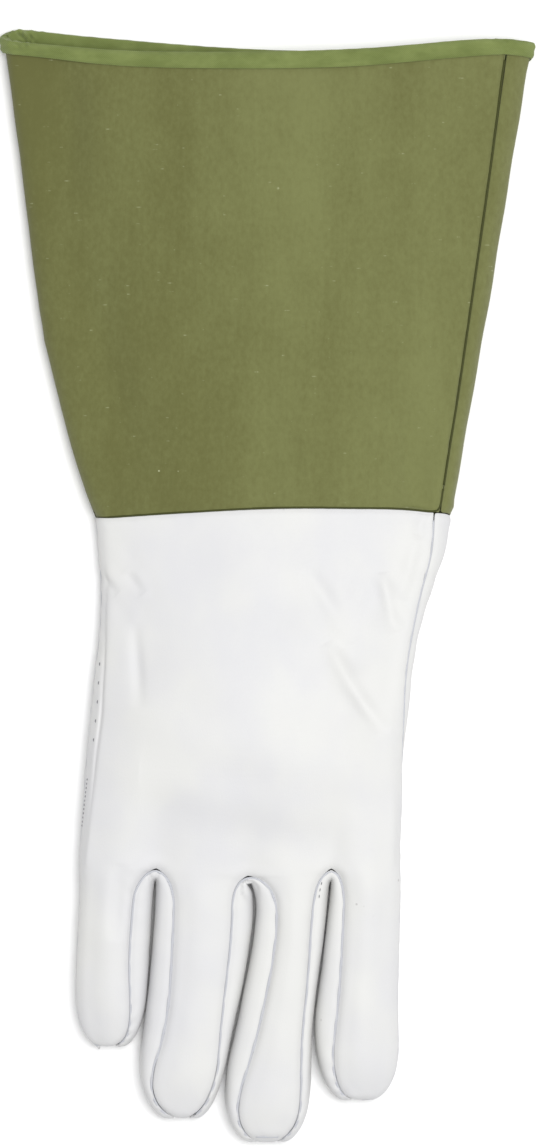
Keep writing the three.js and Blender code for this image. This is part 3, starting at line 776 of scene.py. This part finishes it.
@dataclass
class Panel:
    """One cut piece of the glove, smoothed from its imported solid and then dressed.

    Attributes:
        node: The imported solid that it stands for.
        name: The piece's own name.
        surface: Its finish.
        creases: The soft folds pressed into it.
        roll: How it behaves beside its seams.
        rumple: The height of its broad unevenness, in metres.
        rumple_pitch: The length of that unevenness, in metres.
        crumples: The patches of small folds in it.
        lie: How the whole glove lies.
        levels: How often its faces are divided.
        hold: How firmly its cut edges stay in place as it is smoothed.
        sharp: The least angle at which two of its faces meet in a cut edge.
        finest: The length down to which its faces are divided beside a crease, in metres.
        near: How far from a crease they are divided, once for each number.
        fullness: How far its sides bulge above the glove's waist; 1 leaves them round.
        press: How far its sides are pressed towards the finger beside it, in metres.
        press_band: How far above and below the waist that reaches.
        press_edge: How far from a seam the pressing starts in full.
        calm: How far from a seam its broad unevenness starts in full.
        grip: The height over which the floor keeps it from moving.
        edges: Its cut edges, found when it is built.
        made: Its object.
    """

    node: str
    name: str
    surface: Surface
    creases: tuple[Crease, ...] = ()
    roll: SeamRoll = field(default_factory=SeamRoll)
    rumple: float = 0.25 * MM
    rumple_pitch: float = 34 * MM
    crumples: tuple[Crumple, ...] = ()
    lie: Lie = Lie()
    levels: int = 2
    hold: float = 0.42
    sharp: float = 0.95
    finest: float = 0.5 * MM
    near: tuple[float, ...] = (6 * MM, 4 * MM)
    fullness: float = 1.0
    press: float = 0.0
    press_band: float = 6 * MM
    press_edge: float = 3 * MM
    calm: float = 9 * MM
    grip: float = 2.5 * MM
    edges: list[list[Seamed]] = field(default_factory=list)
    made: Optional[bpy.types.Object] = None

    def line(self, loop: int = 0, depth: float = 0.0) -> list[Vector]:
        """Give the line of a cut edge, at a share of the wall's depth from its outer corner."""
        return [corner.lerp(below, depth) for corner, below in self.edges[loop]]

    def lines(self) -> list[list[Vector]]:
        """Give the lines of all its cut edges."""
        return [self.line(loop) for loop in range(len(self.edges))]

    def mesh(self) -> None:
        """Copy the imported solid's shape, join its facets, smooth it and refine it near its creases."""
        work = self._joined()
        outer = skins(work, self.sharp)[0]
        self.edges = cut_edges(work, outer)
        held = work.edges.layers.float.new("crease_edge")
        for edge in work.edges:
            edge[held] = self.hold if edge.calc_face_angle(0.0) > self.sharp else 0.0
        side = work.verts.layers.float.new("outer_side")
        for vertex in work.verts:
            vertex[side] = 1.0 if any(face in outer for face in vertex.link_faces) else -1.0
        self.made = self._smoothed(work)
        work.free()
        for reach in self.near:
            self._refine(reach)

    def _joined(self) -> bmesh.types.BMesh:
        """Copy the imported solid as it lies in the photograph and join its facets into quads.

        Returns:
            The copy.
        """
        work = bmesh.new()
        work.from_mesh(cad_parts[self.node].data)
        bmesh.ops.remove_doubles(work, verts=work.verts, dist=0.001 * MM)
        moved = self.lie.moved(np.array([vertex.co[:] for vertex in work.verts]))
        for vertex, spot in zip(work.verts, moved):
            vertex.co = spot
        limits = {"angle_face_threshold": 0.7, "angle_shape_threshold": 1.2}
        bmesh.ops.join_triangles(work, faces=work.faces, **limits)
        bmesh.ops.recalc_face_normals(work, faces=work.faces)
        return work

    def _smoothed(self, work: bmesh.types.BMesh) -> bpy.types.Object:
        """Make the panel's object, with its faces divided and smoothed.

        Args:
            work: The panel's joined mesh.

        Returns:
            The object.
        """
        rough = bpy.data.meshes.new(self.name)
        work.to_mesh(rough)
        made = bpy.data.objects.new(self.name, rough)
        bpy.context.collection.objects.link(made)
        smooth = made.modifiers.new("smooth", "SUBSURF")
        smooth.levels = self.levels
        smooth.render_levels = self.levels
        graph = bpy.context.evaluated_depsgraph_get()
        fine = bpy.data.meshes.new_from_object(made.evaluated_get(graph))
        made.modifiers.clear()
        made.data = fine
        fine.name = self.name
        return made

    def _refine(self, reach: float) -> None:
        """Divide the faces near the panel's creases once more.

        Args:
            reach: How far from a crease they are divided, in metres.
        """
        if not self.creases:
            return
        work = bmesh.new()
        work.from_mesh(self.made.data)
        points = np.array([vertex.co[:] for vertex in work.verts])
        near = np.zeros(len(points), dtype=bool)
        for crease in self.creases:
            near |= crease.away(points)[0] < min(reach, 3.0 * crease.width)
        work.verts.ensure_lookup_table()
        beside = [e for e in work.edges if all(near[v.index] for v in e.verts)]
        long = [e for e in beside if e.calc_length() > self.finest]
        bmesh.ops.subdivide_edges(work, edges=long, cuts=1, use_grid_fill=True, smooth=0.0)
        work.to_mesh(self.made.data)
        work.free()

    def _fill_out(self, points: Points, clearance: float = 0.2 * MM, least: float = 0.5 * MM) -> None:
        """Raise a strip between fingers towards its upper seam.

        Args:
            points: Places on the panel, one row each, which change.
            clearance: How far above the waist its upper seam starts, in metres.
            least: The least height of its crest above the waist.
        """
        seam = tree_of([stop for line in self.lines() for stop in line if stop.z > WAIST + clearance])
        for row, point in enumerate(points):
            if point[2] > WAIST:
                crest = max(seam.find(Vector(point))[0].z - WAIST, least)
                share = min((point[2] - WAIST) / crest, 1.0)
                points[row, 2] = WAIST + crest * (1.0 - (1.0 - share) ** self.fullness)

    def _pressed(self, points: Points, outward: Points, away: Points) -> Points:
        """Give how far a strip's sides are pressed towards the fingers, apart from its seams.

        Args:
            points: Places on the panel, one row each.
            outward: The outward direction at each.
            away: The distance of each from the nearest seam.

        Returns:
            The move of each, in metres.
        """
        height = (points[:, 2] - WAIST) / self.press_band
        upright = np.clip(1.0 - np.abs(outward[:, 2]), 0.0, 1.0)
        return self.press * np.exp(-(height**2)) * np.clip(away / self.press_edge, 0.0, 1.0) * upright

    def _relief(self, points: Points, outward: Points) -> Points:
        """Give how far each place is raised by seams, unevenness, creases and crumples.

        Args:
            points: Places on the panel, one row each.
            outward: The outward direction at each.

        Returns:
            The rise of each, in metres.
        """
        away = distances(points, self.lines())
        rise = self.roll.height(points, away) + self._pressed(points, outward, away)
        broad = self.rumple * waves(points, self.rumple_pitch, seed=1.3)
        rise += broad * np.clip(away / self.calm, 0.0, 1.0)
        top = np.clip(outward[:, 2] * 1.4, 0.0, 1.0)
        for crease in self.creases:
            rise += crease.height(points) * top
        for crumple in self.crumples:
            rise += crumple.height(points)
        return rise

    def dress(self, material: bpy.types.Material, still: float = 0.4 * MM) -> None:
        """Press the panel's folds, puckers and unevenness into it, and give it its finish.

        Args:
            material: The finish.
            still: The height up to which it lies still on the floor, in metres.
        """
        mesh = self.made.data
        points = read_points(mesh)
        if self.fullness > 1.0:
            self._fill_out(points)
            write_points(mesh, points)
        side = np.empty(len(points), dtype=np.float32)
        mesh.attributes["outer_side"].data.foreach_get("value", side)
        outward = read_points(mesh, "normal") * np.clip(side, -1.0, 1.0)[:, None]
        lifted = np.clip((points[:, 2] - still) / self.grip, 0.0, 1.0)
        points += outward * (self._relief(points, outward) * lifted)[:, None]
        points[:, 2] = np.maximum(points[:, 2], 0.0)
        mesh.attributes.remove(mesh.attributes["outer_side"])
        mesh.polygons.foreach_set("use_smooth", [True] * len(mesh.polygons))
        write_points(mesh, points)
        finish_piece(self.made, self.surface, material)
        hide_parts(self.node)

    def ground(self) -> BVHTree:
        """Give the finished panel's surface, for what is sewn onto it."""
        corners = [vertex.co for vertex in self.made.data.vertices]
        return BVHTree.FromPolygons(corners, [tuple(face.vertices) for face in self.made.data.polygons])


def finish_piece(piece: bpy.types.Object, surface: Surface, material: bpy.types.Material) -> None:
    """Give a piece its finish, tie it to the glove and report it.

    Args:
        piece: The piece's object.
        surface: The finish that it takes.
        material: That finish's material.
    """
    piece.data.materials.clear()
    piece.data.materials.append(material)
    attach(piece, "root")
    log.info("%s: %d faces, %s", piece.name, len(piece.data.polygons), surface.value)


# Sewing


@dataclass
class Sewing:
    """Thread sewn to a panel: tubes that are joined into one mesh.

    Attributes:
        name: The piece's name.
        panel: The panel that it is sewn to.
        surface: The thread's finish.
        radius: Half the thread's width, in metres.
        sides: How many sides its tubes have.
        verts: The mesh's points so far.
        faces: The mesh's faces so far.
    """

    name: str
    panel: Panel
    surface: Surface
    radius: float
    sides: int = field(default=8, init=False)
    verts: list[Vector] = field(default_factory=list, init=False)
    faces: list[tuple[int, ...]] = field(default_factory=list, init=False)

    def _ring(self, middle: Vector, aside: Vector, up: Vector, radius: float) -> None:
        """Add the points of one ring of a tube.

        Args:
            middle: The ring's middle.
            aside: The direction of its first point.
            up: The direction a quarter of the way round.
            radius: Its radius, in metres.
        """
        for step in range(self.sides):
            turn = math.tau * step / self.sides
            self.verts.append(middle + (aside * math.cos(turn) + up * math.sin(turn)) * radius)

    def _skin(self, rings: int) -> None:
        """Cover the last rings with faces and close both ends.

        Args:
            rings: How many rings the tube has.
        """
        first = len(self.verts) - rings * self.sides
        for ring in range(rings - 1):
            for step in range(self.sides):
                here = first + ring * self.sides + step
                beside = first + ring * self.sides + (step + 1) % self.sides
                self.faces.append((here, beside, beside + self.sides, here + self.sides))
        self.faces.append(tuple(first + step for step in reversed(range(self.sides))))
        last = first + (rings - 1) * self.sides
        self.faces.append(tuple(last + step for step in range(self.sides)))

    def dress(self, material: bpy.types.Material) -> None:
        """Join the tubes into the piece and give it its thread.

        Args:
            material: The thread's material.
        """
        mesh = bpy.data.meshes.new(self.name)
        mesh.from_pydata(self.verts, [], self.faces)
        mesh.polygons.foreach_set("use_smooth", [True] * len(mesh.polygons))
        mesh.update()
        piece = bpy.data.objects.new(self.name, mesh)
        bpy.context.collection.objects.link(piece)
        finish_piece(piece, self.surface, material)


@dataclass
class StitchRow(Sewing):
    """A row of short stitches sewn through a panel.

    Attributes:
        length: The length of a stitch, in metres.
        gap: The space between stitches, in metres.
        route: The places in the photograph's frame that it runs through.
        step: How finely the route is laid on the panel, in metres.
        rings: How many rings each stitch has.
        fall: How much lower a stitch's ends lie than its middle, in thread radii.
    """

    length: float
    gap: float
    route: Route
    step: float = 0.5 * MM
    rings: int = 5
    fall: float = 0.8
    sides: int = field(default=6, init=False)

    def mesh(self) -> None:
        """Lay each stitch on the panel."""
        ground = self.panel.ground()
        above = resampled([place(*stop) for stop in self.route], self.step)
        high, down = Vector((0.0, 0.0, 0.2)), Vector((0.0, 0.0, -1.0))
        hits = [ground.ray_cast(spot + high, down)[0] for spot in above]
        stops = resampled([hit for hit in hits if hit is not None], self.length + self.gap)
        for before, here, after in zip(stops, stops[1:], stops[2:]):
            spot, up, _, _ = ground.find_nearest(here)
            self._stitch(spot, (after - before).normalized(), up)

    def _stitch(self, spot: Vector, along: Vector, up: Vector) -> None:
        """Add one stitch: a short tube, thinner and sunk at both ends.

        Args:
            spot: Its place on the panel.
            along: The row's direction there.
            up: The panel's outward direction there.
        """
        aside = up.cross(along).normalized()
        for ring in range(self.rings):
            share = 2.0 * ring / (self.rings - 1) - 1.0
            girth = self.radius * math.sqrt(max(0.06, 1.0 - share**4))
            rise = self.radius * (0.45 - self.fall * share**4)
            self._ring(spot + along * (0.5 * self.length * share) + up * rise, aside, up, girth)
        self._skin(self.rings)


@dataclass
class Welt(Sewing):
    """The drawn-in thread that fills a seam along a panel's longest cut edge.

    Attributes:
        depth: How deep its middle lies, as a share of the panel's wall.
        where: Tells whether a place on the edge is part of the seam.
        step: How finely the edge is followed, in metres.
        least: How many places make the shortest tube.
    """

    depth: float
    where: Callable[[Vector], bool]
    step: float = 0.9 * MM
    least: int = 4

    def mesh(self) -> None:
        """Draw a tube along each stretch of the edge that the seam follows."""
        stretch: list[Vector] = []
        edge = eased(resampled(self.panel.line(0, self.depth), self.step))
        for spot in [*edge, None]:
            if spot is not None and self.where(spot):
                stretch.append(spot)
                continue
            if len(stretch) >= self.least:
                self._tube(stretch)
            stretch = []

    def _tube(self, line: list[Vector]) -> None:
        """Add one tube along a line.

        Args:
            line: The tube's middle line.
        """
        aside = Vector((1.0, 0.0, 0.0))
        for number, spot in enumerate(line):
            along = (line[min(number + 1, len(line) - 1)] - line[max(number - 1, 0)]).normalized()
            aside = (aside - along * aside.dot(along)).normalized()
            self._ring(spot, aside, along.cross(aside), self.radius)
        self._skin(len(line))


class Finishes:
    """The glove's materials, each made once."""

    def __init__(self) -> None:
        """Make every material."""
        makers = {
            Surface.CANVAS: CanvasFinish(),
            Surface.TAPE: TapeFinish(),
            Surface.LEATHER: LeatherFinish(),
            Surface.CANVAS_THREAD: ThreadFinish("dark_olive_thread", linear(60, 64, 6)),
            Surface.GREY_THREAD: ThreadFinish("grey_thread", linear(120, 121, 126)),
            Surface.LEATHER_THREAD: ThreadFinish("white_thread", linear(200, 202, 208)),
        }
        self.made = {surface: maker.make() for surface, maker in makers.items()}

    def __getitem__(self, surface: Surface) -> bpy.types.Material:
        """Give the material of a finish."""
        return self.made[surface]


# The glove's own sub-assemblies


@dataclass
class Assembly:
    """Panels of the glove, with what is sewn to them.

    Attributes:
        finishes: The glove's materials.
        panels: The panels, in the order of building.
    """

    finishes: Finishes
    panels: list[Panel] = field(default_factory=list, init=False)

    def sewing(self) -> list[Sewing]:
        """Give the seams and stitches, which are made once the panels are dressed."""
        return []

    def mesh(self) -> None:
        """Build the panels."""
        for panel in self.panels:
            panel.mesh()

    def dress(self) -> None:
        """Fold and finish the panels, then sew them."""
        for panel in self.panels:
            panel.dress(self.finishes[panel.surface])
        for row in self.sewing():
            row.mesh()
            row.dress(self.finishes[row.surface])


@dataclass
class Cuff(Assembly):
    """The long flared cuff: two canvas panels, the tape round its rim and their seams.

    Attributes:
        wrist: Where the seams part into the long one and the wrist's, along the glove in metres.
        tape_row: The photograph's row of the tape, where the long seam ends.
        fold_depth: The depth of the canvas's soft folds.
        fold_width: Half their width.
        pinch: Half the width of the creases in the tape's left corner.
        tape_ripple: The height of the tape's puckers.
        groove: How far the canvas is drawn down at its seams.
        seam_radius: Half the width of the long seam's thread.
        edge_radius: Half the width of the wrist's thread.
    """

    wrist: float = 36 * MM
    tape_row: float = 60
    fold_depth: float = 2.1 * MM
    fold_width: float = 8 * MM
    pinch: float = 0.7 * MM
    tape_ripple: float = 0.26 * MM
    groove: float = 0.55 * MM
    seam_radius: float = 0.42 * MM
    edge_radius: float = 0.4 * MM

    def __post_init__(self) -> None:
        """Name the panels and the folds in them."""
        fold, wide, pinch = self.fold_depth, self.fold_width, self.pinch
        folds = (
            Crease(((64, 40), (70, 120), (68, 210)), wide, fold),
            Crease(((72, 240), (100, 350), (140, 490)), wide * 1.1, fold * 0.9),
            Crease(((408, 400), (412, 470), (416, 540)), wide * 0.8, fold),
            Crease(((250, 330), (262, 420), (270, 520)), wide * 1.3, fold * 0.6),
            Crease(((330, 60), (322, 180), (316, 300)), wide * 1.4, fold * 0.5),
        )
        corner = (
            Crease(((12, 32), (19, 36), (27, 42)), pinch, 1.1 * MM),
            Crease(((19, 30), (27, 36), (34, 42)), pinch, 1.0 * MM),
            Crease(((15, 28), (23, 33), (31, 40)), 0.8 * MM, -0.6 * MM),
            Crease(((4, 44), (24, 51), (60, 53)), pinch, 0.35 * MM),
        )
        crushed = (
            Crumple((22, 31), 6 * MM, 1.1 * MM, 3.2 * MM),
            Crumple((505, 40), 9 * MM, 0.5 * MM, 5 * MM),
        )
        ripple = self.tape_ripple
        tuck = SeamRoll(sink=self.groove, swell=0.3 * MM, back=3.2 * MM, pucker=0.16 * MM, pitch=9 * MM)
        hem = SeamRoll(sink=0.35 * MM, swell=0.34 * MM, back=1.4 * MM, pucker=ripple, pitch=7 * MM)
        canvas = Surface.CANVAS
        self.back = Panel(
            "cuff_back", "cuff_back_canvas", canvas, folds, tuck, rumple=0.5 * MM, rumple_pitch=52 * MM
        )
        palm = Panel(
            "cuff_palm", "cuff_palm_canvas", canvas, roll=tuck, rumple=0.4 * MM, rumple_pitch=47 * MM
        )
        tape = Panel(
            "hem_tape",
            "hem_tape_cloth",
            Surface.TAPE,
            corner,
            hem,
            rumple=0.15 * MM,
            rumple_pitch=20 * MM,
            crumples=crushed,
            levels=3,
        )
        self.panels = [self.back, palm, tape]

    def _on_long_seam(self, spot: Vector) -> bool:
        """Tell whether a place is on the long seam at the right, between wrist and tape."""
        return spot.x > 0.0 and self.wrist < spot.y < place(0, self.tape_row).y

    def _at_wrist(self, spot: Vector) -> bool:
        """Tell whether a place is on the cuff's edge at the wrist."""
        return spot.y < self.wrist

    def sewing(self) -> list[Sewing]:
        """Give the long seam and the wrist's."""
        thread = Surface.CANVAS_THREAD
        return [
            Welt("cuff_seam", self.back, thread, self.seam_radius, 0.3, self._on_long_seam),
            Welt("wrist_edge", self.back, thread, self.edge_radius, 0.5, self._at_wrist),
        ]


@dataclass
class Hand(Assembly):
    """The leather hand: its back, its palm and the strips between the fingers.

    Attributes:
        crease_width: Half the width of the back's creases, in metres.
        crease_depth: Their depth.
        seam_radius: Half the width of the seams' thread.
        seam_low: The height above which a strip's seam is its upper one.
        strip_fullness: How far the strips bulge above the waist.
        strip_press: How far their sides are pressed towards the fingers.
        side_depth: The depth of the valley along the left side.
        wrist: Where the side seams start, along the glove.
        beside: How near a strip a place counts as beside it.
        stitch_radius: Half the width of the stitches' thread.
        strips: The finger gaps that the strips fill.
    """

    crease_width: float = 2.6 * MM
    crease_depth: float = 1.35 * MM
    seam_radius: float = 0.42 * MM
    seam_low: float = 9 * MM
    strip_fullness: float = 2.4
    strip_press: float = 1.0 * MM
    side_depth: float = 0.8 * MM
    wrist: float = 24 * MM
    beside: float = 3 * MM
    stitch_radius: float = 0.18 * MM
    strips: tuple[str, ...] = ("little_ring", "ring_middle", "middle_index")

    def __post_init__(self) -> None:
        """Name the panels and the creases in them."""
        wide, deep, side = self.crease_width, self.crease_depth, self.side_depth
        creases = (
            Crease(((326, 642), (352, 684), (384, 734)), wide * 1.3, deep * 1.9),
            Crease(((383, 572), (387, 600), (396, 632)), wide, deep),
            Crease(((306, 566), (328, 604), (350, 644)), wide * 1.3, deep * 0.9),
            Crease(((127, 572), (144, 594)), wide * 0.8, deep * 0.6),
            Crease(((135, 622), (138, 664), (141, 708)), wide * 0.9, deep * 0.7),
            Crease(((96, 572), (118, 594)), wide * 0.7, deep * 0.6),
            Crease(((121, 862), (117, 900), (115, 940)), wide * 1.2, deep * 0.7),
            Crease(((140, 772), (200, 774), (270, 772), (345, 764)), wide * 5.4, deep),
            Crease(((417, 540), (421, 520), (425, 500)), wide * 0.9, deep * 0.5),
            Crease(((402, 600), (411, 560), (418, 535)), wide, -deep * 0.6),
            Crease(((104, 560), (104, 640), (101, 710), (93, 780), (84, 860)), 0.9 * MM, side),
            Crease(((98, 560), (99, 640), (96, 710), (87, 780), (80, 860)), 2.2 * MM, side),
        )
        squeezed = (
            Crumple((372, 598), 17 * MM, 0.4 * MM, 11 * MM),
            Crumple((125, 585), 13 * MM, 0.22 * MM, 12 * MM),
            Crumple((350, 690), 14 * MM, 0.3 * MM, 10 * MM),
        )
        gathers = (
            Crease(((147, 869), (151, 877), (154, 888)), 0.7 * MM, 0.6 * MM),
            Crease(((163, 866), (158, 874), (155, 884)), 0.6 * MM, 0.5 * MM),
        )
        seam = SeamRoll(sink=0.4 * MM, swell=0.22 * MM, back=2.6 * MM, pucker=0.14 * MM, pitch=6 * MM)
        strip = SeamRoll(sink=0.25 * MM, swell=0.1 * MM, back=2.0 * MM, pucker=0.1 * MM, pitch=6 * MM)
        leather = Surface.LEATHER
        self.back = Panel(
            "hand_back",
            "hand_back_leather",
            leather,
            creases,
            seam,
            rumple=0.35 * MM,
            rumple_pitch=30 * MM,
            crumples=squeezed,
            sharp=0.6,
        )
        palm = Panel(
            "hand_palm", "hand_palm_leather", leather, roll=seam, rumple=0.3 * MM, rumple_pitch=28 * MM
        )
        self.fourchettes = [
            Panel(
                f"fourchette_{gap}",
                f"fourchette_{gap}_leather",
                leather,
                gathers,
                strip,
                rumple=0.1 * MM,
                rumple_pitch=18 * MM,
                fullness=self.strip_fullness,
                press=self.strip_press,
            )
            for gap in self.strips
        ]
        self.panels = [self.back, palm, *self.fourchettes]

    def _on_upper_seam(self, spot: Vector) -> bool:
        """Tell whether a place is on the upper of a strip's two seams."""
        return spot.z > self.seam_low

    def _side_seam_test(self) -> Callable[[Vector], bool]:
        """Make a test for the places below the wrist that aren't beside a strip.

        Returns:
            The test.
        """
        seam = tree_of([stop for strip in self.fourchettes for stop in strip.line()])

        def passes(spot: Vector) -> bool:
            """Tell whether a place passes."""
            return spot.y < self.wrist and seam.find(spot)[2] >= self.beside

        return passes

    def sewing(self) -> list[Sewing]:
        """Name the side seams, the strips' seams and the few stitches that show.

        Returns:
            The seams and stitches.
        """
        thread, grey, fine = Surface.LEATHER_THREAD, Surface.GREY_THREAD, self.stitch_radius
        low_side = ((88, 775), (84, 810), (80, 845))
        high_side = ((101, 645), (98, 700), (91, 770))
        finger_root = ((323, 876), (320, 888), (318, 904))
        index = self.fourchettes[-1]
        strip_seams = [
            Welt(f"{strip.name}_seam", strip, thread, self.seam_radius * 1.1, 0.3, self._on_upper_seam)
            for strip in self.fourchettes
        ]
        return [
            Welt("side_seams", self.back, thread, self.seam_radius, 0.42, self._side_seam_test()),
            *strip_seams,
            StitchRow("side_stitches", self.back, grey, fine, 0.9 * MM, 0.65 * MM, low_side),
            StitchRow("side_tacks", self.back, grey, fine, 1.4 * MM, 5.5 * MM, high_side),
            StitchRow("finger_stitches", index, grey, 0.15 * MM, 1.3 * MM, 1.1 * MM, finger_root),
        ]


@dataclass
class Thumb(Assembly):
    """The thumb, folded in under the palm.

    Attributes:
        seam_sink: How far its seam is drawn down, in metres.
    """

    seam_sink: float = 0.35 * MM

    def __post_init__(self) -> None:
        """Name the thumb's one panel."""
        roll = SeamRoll(sink=self.seam_sink)
        leather = Surface.LEATHER
        self.panels = [
            Panel("thumb", "thumb_leather", leather, roll=roll, rumple=0.2 * MM, rumple_pitch=22 * MM)
        ]


@dataclass
class Studio:
    """A pale floor, soft light and a camera straight above the glove.

    Attributes:
        distance: How far the camera is above the glove's middle, in metres.
        sensor: The width of its sensor, in millimetres.
        middle_height: The height that is shown at the photograph's scale.
        far: How far the camera sees.
        floor_side: The side of the square floor.
        floor_drop: How far it lies below the glove.
        floor_shade: Its shade on the screen's scale of 0 to 255.
        key_power: The lamp's power, in watts.
        key_place: The lamp's place.
        key_side: The side of the square lamp.
        sky: The strength of the light from all round.
    """

    distance: float = 1.6
    sensor: float = 36.0
    middle_height: float = 10 * MM
    far: float = 20.0
    floor_side: float = 6.0
    floor_drop: float = 0.05 * MM
    floor_shade: int = 252
    key_power: float = 19.6
    key_place: tuple[float, float, float] = (0.3, 0.1, 1.55)
    key_side: float = 0.8
    sky: float = 0.56

    def mesh(self) -> None:
        """Lay the floor, hang the light and place the camera."""
        half = 0.5 * self.floor_side
        corners = [(-half, -half, 0.0), (half, -half, 0.0), (half, half, 0.0), (-half, half, 0.0)]
        sheet = bpy.data.meshes.new("floor")
        sheet.from_pydata(corners, [], [(0, 1, 2, 3)])
        self.floor = bpy.data.objects.new("floor", sheet)
        self.floor.location.z = -self.floor_drop
        bpy.context.collection.objects.link(self.floor)
        lamp = bpy.data.lights.new("key", "AREA")
        lamp.size = self.key_side
        lamp.energy = self.key_power
        key = bpy.data.objects.new("key", lamp)
        key.location = self.key_place
        key.rotation_euler = (-Vector(self.key_place)).to_track_quat("-Z", "Y").to_euler()
        bpy.context.collection.objects.link(key)
        lens = bpy.data.cameras.new("camera")
        lens.sensor_width = self.sensor
        lens.lens = self.sensor * self.distance / (FRAME_HEIGHT * METRES_PER_PIXEL)
        lens.clip_end = self.far
        eye = bpy.data.objects.new("camera", lens)
        centre = place(0.5 * FRAME_WIDTH, 0.5 * FRAME_HEIGHT)
        eye.location = (centre.x, centre.y, self.middle_height + self.distance)
        bpy.context.collection.objects.link(eye)
        bpy.context.scene.camera = eye

    def dress(self) -> None:
        """Give the floor its finish and set the ambient light and the picture's tones."""
        tree = NodeTree("pale_floor")
        tree.finish(linear(*[self.floor_shade] * 3), 0.8, [])
        tree.steady({"Specular IOR Level": 0.1})
        self.floor.data.materials.append(tree.material)
        sky = bpy.data.worlds.new("sky")
        sky.use_nodes = True
        background = sky.node_tree.nodes["Background"]
        background.inputs["Color"].default_value = (1.0, 1.0, 1.0, 1.0)
        background.inputs["Strength"].default_value = self.sky
        bpy.context.scene.world = sky
        bpy.context.scene.view_settings.view_transform = "Standard"


def main() -> None:
    """Build the glove's sub-assemblies in order, then the studio round it."""
    logging.basicConfig(level=logging.INFO, format="%(message)s")
    finishes = Finishes()
    for part in (Cuff(finishes), Hand(finishes), Thumb(finishes), Studio()):
        part.mesh()
        part.dress()
        log.info("%s is built", type(part).__name__)


if __name__ == "__main__":
    main()
